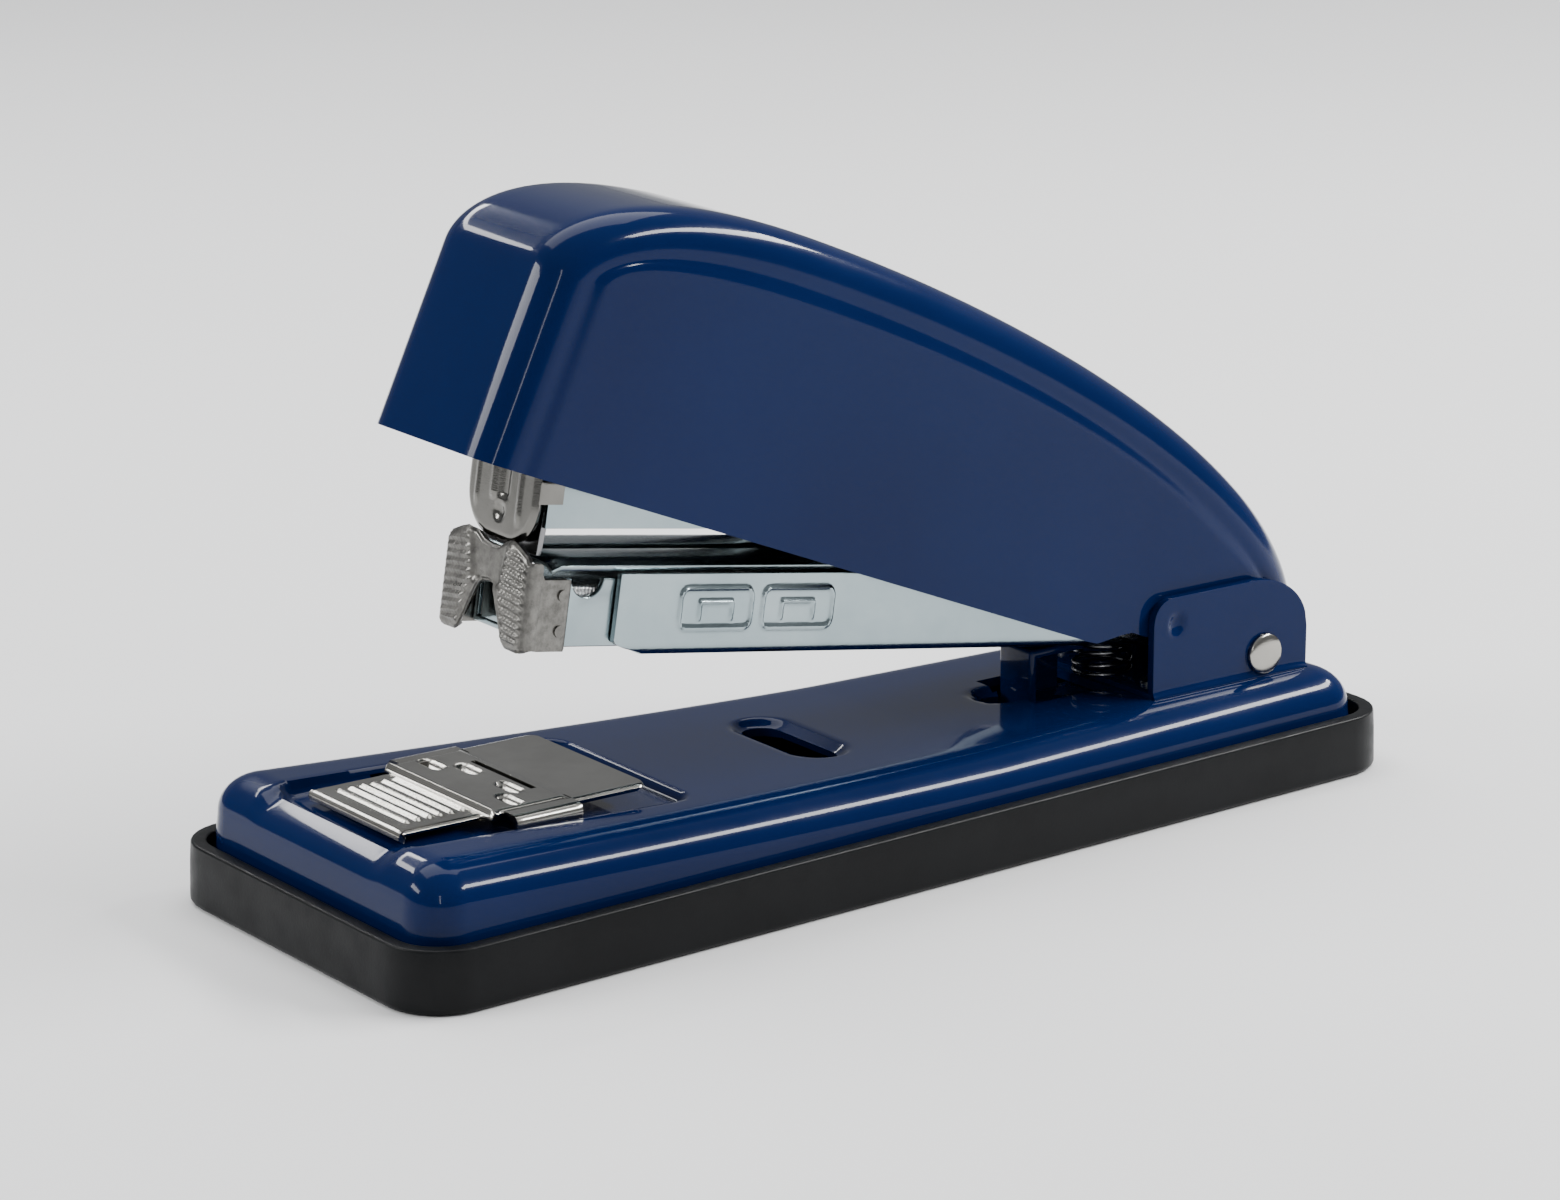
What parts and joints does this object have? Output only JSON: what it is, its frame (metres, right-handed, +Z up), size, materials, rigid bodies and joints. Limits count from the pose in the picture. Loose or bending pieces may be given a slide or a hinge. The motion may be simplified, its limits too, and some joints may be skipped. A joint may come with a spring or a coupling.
{
  "type": "desk stapler",
  "caption": "Open desk stapler with a pressed metal handle, a hinged magazine, a front-loading drawer, a sliding anvil and a tray base.",
  "frame": {"origin": "centre of the tray's underside", "axes": "+X from the nose to the hinge, Y across, +Z up; nose at -X"},
  "size_m": [0.155, 0.057, 0.0856],
  "materials": {
    "blue_lacquer": "glossy dark blue lacquer on pressed steel",
    "black_plastic": "satin black moulded plastic",
    "nickel": "bright nickel plate on sheet steel",
    "cast_zinc": "nickel plate on a zinc casting",
    "zinc_plate": "zinc plated steel",
    "spring_steel": "plain spring steel",
    "staple_wire": "galvanised wire"
  },
  "bodies": {
    "base": {"tray": "black_plastic", "base_shell": "blue_lacquer", "tray_screws": "zinc_plate", "hinge_bracket": "blue_lacquer", "bracket_rivets": "zinc_plate", "hinge_pin": "nickel", "stop_post": "blue_lacquer", "lift_spring": "spring_steel"},
    "anvil": {"anvil_plate": "nickel", "anvil_spring": "spring_steel"},
    "magazine": {"outer_channel": "nickel", "top_strip": "nickel", "upper_frame": "nickel", "front_plate": "nickel", "frame_rivets": "zinc_plate", "handle_spring": "spring_steel"},
    "drawer": {"drawer": "nickel", "core_rail": "nickel", "nose_clip": "cast_zinc", "clip_rivets": "zinc_plate", "guide_rod": "spring_steel", "staple_strip": "staple_wire", "pusher_spring": "spring_steel"},
    "pusher": {"pusher": "cast_zinc"},
    "handle": {"handle_cover": "blue_lacquer", "driver_arm": "nickel", "driver_blade": "spring_steel", "blade_rivets": "zinc_plate", "cover_studs": "zinc_plate", "cover_nuts": "zinc_plate", "arm_bushes": "zinc_plate"}
  },
  "joints": [
    {"name": "magazine_swing", "type": "hinge", "parent": "base", "child": "magazine", "pos_m": [0.0611, 0, 0.0163], "axis": [0, -1, 0], "range_deg": [0, 8.5], "stiffness_Nm_per_rad": 0.6, "springref_deg": -34.38, "deforming": ["lift_spring"]},
    {"name": "handle_press", "type": "hinge", "parent": "magazine", "child": "handle", "pos_m": [0.0611, 0, 0.0163], "axis": [0, -1, 0], "range_deg": [0, 5.5], "stiffness_Nm_per_rad": 0.8, "springref_deg": -28.65, "deforming": ["handle_spring"]},
    {"name": "drawer_slide", "type": "slide", "parent": "magazine", "child": "drawer", "axis": [0.9877, 0, -0.1564], "range_m": [-0.052, 0]},
    {"name": "pusher_travel", "type": "slide", "parent": "drawer", "child": "pusher", "axis": [0.9877, 0, -0.1564], "range_m": [0, 0.016], "stiffness_N_per_m": 60, "springref_m": -0.03, "deforming": ["pusher_spring"]},
    {"name": "anvil_shift", "type": "slide", "parent": "base", "child": "anvil", "axis": [1, 0, 0], "range_m": [0, 0.0026]}
  ]
}
